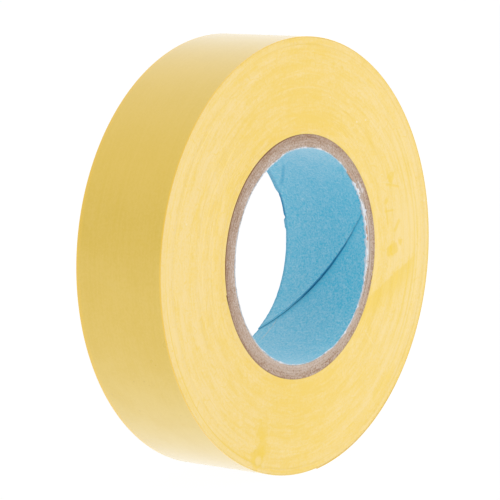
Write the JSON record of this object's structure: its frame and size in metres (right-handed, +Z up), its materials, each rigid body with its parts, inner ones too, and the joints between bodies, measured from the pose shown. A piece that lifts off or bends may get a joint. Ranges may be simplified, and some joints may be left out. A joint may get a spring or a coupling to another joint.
{
  "type": "electrical tape roll",
  "caption": "Roll of yellow PVC electrical tape wound on a spiral-wound paper core with a blue liner; the free end peels off the rim.",
  "frame": {"origin": "centre of the bore at mid width", "axes": "+X along the roll's axis and out of its front face, seen from which the tape winds clockwise from the core outwards; +Z up, with the roll standing on its rim; +Y completes the right-handed frame"},
  "size_m": [0.019, 0.0785, 0.0785],
  "materials": {
    "liner_paper": "blue printed paper, matt",
    "kraft_paper": "grey-brown kraft paper board, matt",
    "tape_edge": "slit edges of wound yellow PVC tape, satin",
    "tape_film": "yellow plasticised PVC film, smooth and slightly glossy",
    "tape_adhesive": "tacky rubber-resin adhesive coat, translucent"
  },
  "bodies": {
    "roll": {"core_liner": "liner_paper", "core_ply_1": "kraft_paper", "core_ply_2": "kraft_paper", "core_ply_3": "kraft_paper", "core_ply_4": "kraft_paper", "core_ply_5": "kraft_paper", "wound_tape": "tape_edge"},
    "tail_1": {"tail_film_1": "tape_film", "tail_adhesive_1": "tape_adhesive"},
    "tail_2": {"tail_film_2": "tape_film", "tail_adhesive_2": "tape_adhesive"},
    "tail_3": {"tail_film_3": "tape_film", "tail_adhesive_3": "tape_adhesive"},
    "tail_4": {"tail_film_4": "tape_film", "tail_adhesive_4": "tape_adhesive"},
    "tail_5": {"tail_film_5": "tape_film", "tail_adhesive_5": "tape_adhesive"},
    "tail_6": {"tail_film_6": "tape_film", "tail_adhesive_6": "tape_adhesive"},
    "tail_7": {"tail_film_7": "tape_film", "tail_adhesive_7": "tape_adhesive"},
    "tail_8": {"tail_film_8": "tape_film", "tail_adhesive_8": "tape_adhesive"}
  },
  "joints": [
    {"name": "tail_peel", "type": "hinge", "parent": "roll", "child": "tail_1", "pos_m": [0, 0.02905, -0.02662], "axis": [1, 0, 0], "range_deg": [0, 70]},
    {"name": "tail_bend_2", "type": "hinge", "parent": "tail_1", "child": "tail_2", "pos_m": [0, 0.02662, -0.02905], "axis": [1, 0, 0], "range_deg": [0, 63]},
    {"name": "tail_bend_3", "type": "hinge", "parent": "tail_2", "child": "tail_3", "pos_m": [0, 0.02399, -0.03126], "axis": [1, 0, 0], "range_deg": [0, 35]},
    {"name": "tail_bend_4", "type": "hinge", "parent": "tail_3", "child": "tail_4", "pos_m": [0, 0.02117, -0.03323], "axis": [1, 0, 0], "range_deg": [0, 2.8]},
    {"name": "tail_bend_5", "type": "hinge", "parent": "tail_4", "child": "tail_5", "pos_m": [0, 0.01819, -0.03495], "axis": [1, 0, 0], "range_deg": [0, 2.8]},
    {"name": "tail_bend_6", "type": "hinge", "parent": "tail_5", "child": "tail_6", "pos_m": [0, 0.01508, -0.0364], "axis": [1, 0, 0], "range_deg": [0, 2.8]},
    {"name": "tail_bend_7", "type": "hinge", "parent": "tail_6", "child": "tail_7", "pos_m": [0, 0.01185, -0.03758], "axis": [1, 0, 0], "range_deg": [0, 2.8]},
    {"name": "tail_bend_8", "type": "hinge", "parent": "tail_7", "child": "tail_8", "pos_m": [0, 0.00853, -0.03847], "axis": [1, 0, 0], "range_deg": [0, 2.8]}
  ],
  "couplings": [
    {"joint": "tail_bend_2", "follows": "tail_peel", "ratio": 0.9},
    {"joint": "tail_bend_3", "follows": "tail_peel", "ratio": 0.5},
    {"joint": "tail_bend_4", "follows": "tail_peel", "ratio": 0.04},
    {"joint": "tail_bend_5", "follows": "tail_peel", "ratio": 0.04},
    {"joint": "tail_bend_6", "follows": "tail_peel", "ratio": 0.04},
    {"joint": "tail_bend_7", "follows": "tail_peel", "ratio": 0.04},
    {"joint": "tail_bend_8", "follows": "tail_peel", "ratio": 0.04}
  ]
}
